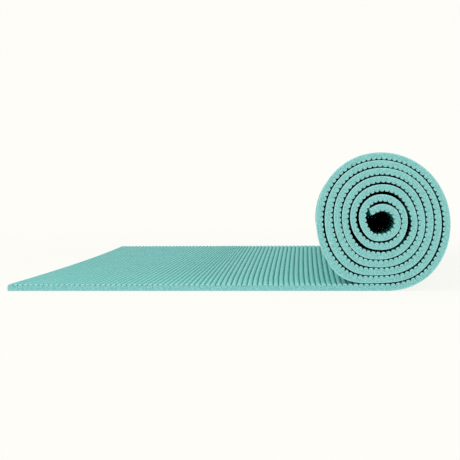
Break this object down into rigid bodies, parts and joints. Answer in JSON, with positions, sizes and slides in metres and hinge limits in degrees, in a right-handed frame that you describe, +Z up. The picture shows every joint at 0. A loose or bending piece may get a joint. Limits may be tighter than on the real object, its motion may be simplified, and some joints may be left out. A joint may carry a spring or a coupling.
{
  "type": "yoga mat",
  "caption": "Thin ribbed foam exercise mat, part laid flat and the rest wound into a roll. Its free end curls up and the outside of the roll opens.",
  "frame": {"origin": "centre of the bounding box's bottom face, on the floor that the flat stretch lies on", "axes": "+X along the mat from its free end towards the roll, +Y across the mat's width, +Z up from the floor"},
  "size_m": [0.3784, 0.61, 0.1169],
  "materials": {
    "foam": "matte closed-cell foam"
  },
  "bodies": {
    "floor_stretch": {"floor_stretch": "foam"},
    "end_section_1": {"end_section_1": "foam"},
    "end_section_2": {"end_section_2": "foam"},
    "end_section_3": {"end_section_3": "foam"},
    "end_section_4": {"end_section_4": "foam"},
    "end_section_5": {"end_section_5": "foam"},
    "end_section_6": {"end_section_6": "foam"},
    "turn_section_1": {"turn_section_1": "foam"},
    "turn_section_2": {"turn_section_2": "foam"},
    "turn_section_3": {"turn_section_3": "foam"},
    "turn_section_4": {"turn_section_4": "foam"},
    "turn_section_5": {"turn_section_5": "foam"},
    "turn_section_6": {"turn_section_6": "foam"},
    "turn_section_7": {"turn_section_7": "foam"},
    "turn_section_8": {"turn_section_8": "foam"},
    "turn_section_9": {"turn_section_9": "foam"},
    "wound_roll": {"wound_roll": "foam"}
  },
  "joints": [
    {"name": "end_curl_1", "type": "hinge", "parent": "floor_stretch", "child": "end_section_1", "pos_m": [-0.08124, 0, 0.0047], "axis": [0, 1, 0], "range_deg": [0, 22]},
    {"name": "end_curl_2", "type": "hinge", "parent": "end_section_1", "child": "end_section_2", "pos_m": [-0.09924, 0, 0.0047], "axis": [0, 1, 0], "range_deg": [0, 22]},
    {"name": "end_curl_3", "type": "hinge", "parent": "end_section_2", "child": "end_section_3", "pos_m": [-0.11724, 0, 0.0047], "axis": [0, 1, 0], "range_deg": [0, 22]},
    {"name": "end_curl_4", "type": "hinge", "parent": "end_section_3", "child": "end_section_4", "pos_m": [-0.13524, 0, 0.0047], "axis": [0, 1, 0], "range_deg": [0, 22]},
    {"name": "end_curl_5", "type": "hinge", "parent": "end_section_4", "child": "end_section_5", "pos_m": [-0.15324, 0, 0.0047], "axis": [0, 1, 0], "range_deg": [0, 22]},
    {"name": "end_curl_6", "type": "hinge", "parent": "end_section_5", "child": "end_section_6", "pos_m": [-0.17124, 0, 0.0047], "axis": [0, 1, 0], "range_deg": [0, 22]},
    {"name": "unroll_1", "type": "hinge", "parent": "floor_stretch", "child": "turn_section_1", "pos_m": [0.14415, 0, 0.00064], "axis": [0, 1, 0], "range_deg": [0, 15.5]},
    {"name": "unroll_2", "type": "hinge", "parent": "turn_section_1", "child": "turn_section_2", "pos_m": [0.16222, 0, 0.00646], "axis": [0, 1, 0], "range_deg": [0, 24]},
    {"name": "unroll_3", "type": "hinge", "parent": "turn_section_2", "child": "turn_section_3", "pos_m": [0.17676, 0, 0.01879], "axis": [0, 1, 0], "range_deg": [0, 21]},
    {"name": "unroll_4", "type": "hinge", "parent": "turn_section_3", "child": "turn_section_4", "pos_m": [0.18581, 0, 0.03541], "axis": [0, 1, 0], "range_deg": [0, 18]},
    {"name": "unroll_5", "type": "hinge", "parent": "turn_section_4", "child": "turn_section_5", "pos_m": [0.1892, 0, 0.05393], "axis": [0, 1, 0], "range_deg": [0, 16.8]},
    {"name": "unroll_6", "type": "hinge", "parent": "turn_section_5", "child": "turn_section_6", "pos_m": [0.18705, 0, 0.07262], "axis": [0, 1, 0], "range_deg": [0, 16.9]},
    {"name": "unroll_7", "type": "hinge", "parent": "turn_section_6", "child": "turn_section_7", "pos_m": [0.17948, 0, 0.08988], "axis": [0, 1, 0], "range_deg": [0, 17.8]},
    {"name": "unroll_8", "type": "hinge", "parent": "turn_section_7", "child": "turn_section_8", "pos_m": [0.16693, 0, 0.10399], "axis": [0, 1, 0], "range_deg": [0, 18.5]},
    {"name": "unroll_9", "type": "hinge", "parent": "turn_section_8", "child": "turn_section_9", "pos_m": [0.15051, 0, 0.11334], "axis": [0, 1, 0], "range_deg": [0, 18.7]},
    {"name": "unroll_10", "type": "hinge", "parent": "turn_section_9", "child": "wound_roll", "pos_m": [0.13193, 0, 0.11687], "axis": [0, 1, 0], "range_deg": [0, 19]}
  ],
  "couplings": [
    {"joint": "end_curl_2", "follows": "end_curl_1", "ratio": 1},
    {"joint": "end_curl_3", "follows": "end_curl_1", "ratio": 1},
    {"joint": "end_curl_4", "follows": "end_curl_1", "ratio": 1},
    {"joint": "end_curl_5", "follows": "end_curl_1", "ratio": 1},
    {"joint": "end_curl_6", "follows": "end_curl_1", "ratio": 1}
  ]
}
